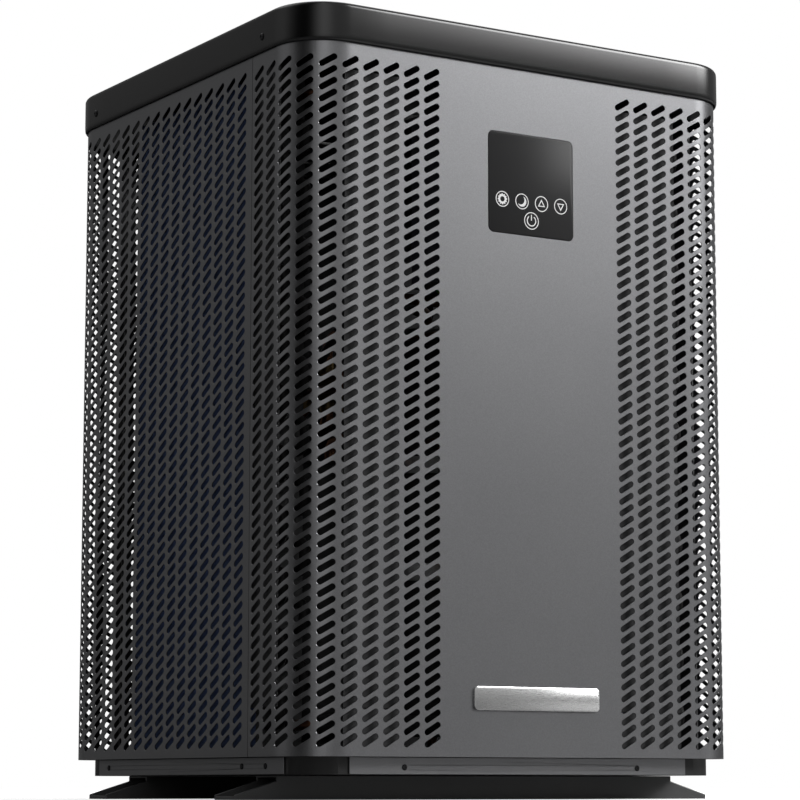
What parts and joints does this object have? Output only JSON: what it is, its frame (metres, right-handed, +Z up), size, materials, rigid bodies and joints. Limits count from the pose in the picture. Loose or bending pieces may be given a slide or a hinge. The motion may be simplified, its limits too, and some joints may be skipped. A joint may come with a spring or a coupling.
{
  "type": "pool heat pump unit",
  "caption": "Compact vertical-discharge pool heat pump: perforated rounded sheet cabinet on two foot rails, touch display, top air outlet and rear 50 mm water unions.",
  "frame": {"origin": "floor level, at the centre of the overall footprint; the cabinet and fan axis stands 32.5 mm in front of it", "axes": "+Z up, +Y from the front sheet with the touch display towards the rear with the water unions, +X to the right seen from the front"},
  "size_m": [0.485, 0.511, 0.6639],
  "materials": {
    "front_panel": "satin metallic grey powder coat",
    "dark_panel": "satin dark grey powder coat",
    "cover": "satin graphite metallic paint",
    "black_steel": "semi-gloss black powder coat",
    "dark_steel": "dark grey coated sheet",
    "motor_paint": "black motor enamel",
    "galvanised": "spangled zinc",
    "zinc_steel": "zinc plated",
    "dark_screw": "blackened steel",
    "steel": "turned steel",
    "cast_aluminium": "die cast",
    "cast_iron": "machined cast iron",
    "copper": "drawn copper",
    "brass": "machined brass",
    "windings": "enamelled copper windings in laminations",
    "blue_fins": "blue hydrophilic coating",
    "titanium": "drawn titanium",
    "black_plastic": "fine textured",
    "white_plastic": "moulded, light grey",
    "black_rubber": "matt",
    "board": "solder mask",
    "touch_glass": "black glass front",
    "badge": "brushed, blank"
  },
  "bodies": {
    "cabinet": {"base_pan": "black_steel", "plinth_trims": "dark_panel", "sheet_screws": "dark_screw", "front_foot_rail": "black_steel", "rear_foot_rail": "black_steel", "frame_bolts": "zinc_steel", "front_panel": "front_panel", "left_panel": "dark_panel", "right_panel": "dark_panel", "rear_panel": "dark_panel", "front_baffle": "dark_steel", "rear_baffle": "black_steel", "top_cover": "cover", "cover_screws": "dark_screw", "fan_guard": "black_steel", "fan_deck": "black_steel", "motor_bracket": "zinc_steel", "motor_bolts": "zinc_steel", "fan_motor_housing": "motor_paint", "fan_motor_end_cap": "cast_aluminium", "fan_motor_stator": "windings", "bearing_outer_rings": "steel", "left_coil_fins": "blue_fins", "right_coil_fins": "blue_fins", "coil_tubes": "copper", "coil_tube_sheets": "galvanised", "compressor_shell": "black_steel", "compressor_stator": "windings", "compressor_pump_block": "cast_iron", "compressor_grommets": "black_rubber", "terminal_cover": "black_plastic", "accumulator": "black_steel", "reversing_valve": "brass", "valve_coil": "black_plastic", "expansion_valve": "brass", "refrigerant_pipes": "copper", "exchanger_shell": "black_plastic", "titanium_coil": "titanium", "exchanger_straps": "galvanised", "water_stubs": "black_plastic", "water_tailpieces": "white_plastic", "union_seals": "black_rubber", "flow_switch": "white_plastic", "electrical_box": "dark_steel", "control_board": "board", "display_housing": "black_plastic", "touch_glass": "touch_glass", "badge_plate": "badge", "drain_spout": "black_plastic", "cable_gland": "black_plastic"},
    "fan_rotor": {"fan_motor_rotor": "steel", "motor_shaft": "steel", "bearing_inner_rings": "steel", "fan_impeller": "black_plastic", "fan_nut": "zinc_steel"},
    "crankshaft": {"compressor_rotor": "steel"},
    "valve_slider": {"valve_slide": "white_plastic"},
    "inlet_nut": {"inlet_union_nut": "black_plastic"},
    "outlet_nut": {"outlet_union_nut": "black_plastic"},
    "paddle": {"flow_paddle": "steel"}
  },
  "joints": [
    {"name": "fan_spin", "type": "hinge", "parent": "cabinet", "child": "fan_rotor", "pos_m": [0, -0.0325, 0.6], "axis": [0, 0, 1], "continuous": true},
    {"name": "compressor_spin", "type": "hinge", "parent": "cabinet", "child": "crankshaft", "pos_m": [-0.072, -0.0005, 0.15], "axis": [0, 0, 1], "continuous": true},
    {"name": "valve_shift", "type": "slide", "parent": "cabinet", "child": "valve_slider", "axis": [1, 0, 0], "range_m": [0, 0.024]},
    {"name": "inlet_nut_turn", "type": "hinge", "parent": "cabinet", "child": "inlet_nut", "pos_m": [0.085, 0.2025, 0.12], "axis": [0, 1, 0], "continuous": true},
    {"name": "outlet_nut_turn", "type": "hinge", "parent": "cabinet", "child": "outlet_nut", "pos_m": [0.085, 0.2025, 0.37], "axis": [0, 1, 0], "continuous": true},
    {"name": "flow_paddle_swing", "type": "hinge", "parent": "cabinet", "child": "paddle", "pos_m": [0.085, 0.1535, 0.147], "axis": [-1, 0, 0], "range_deg": [0, 20]}
  ]
}
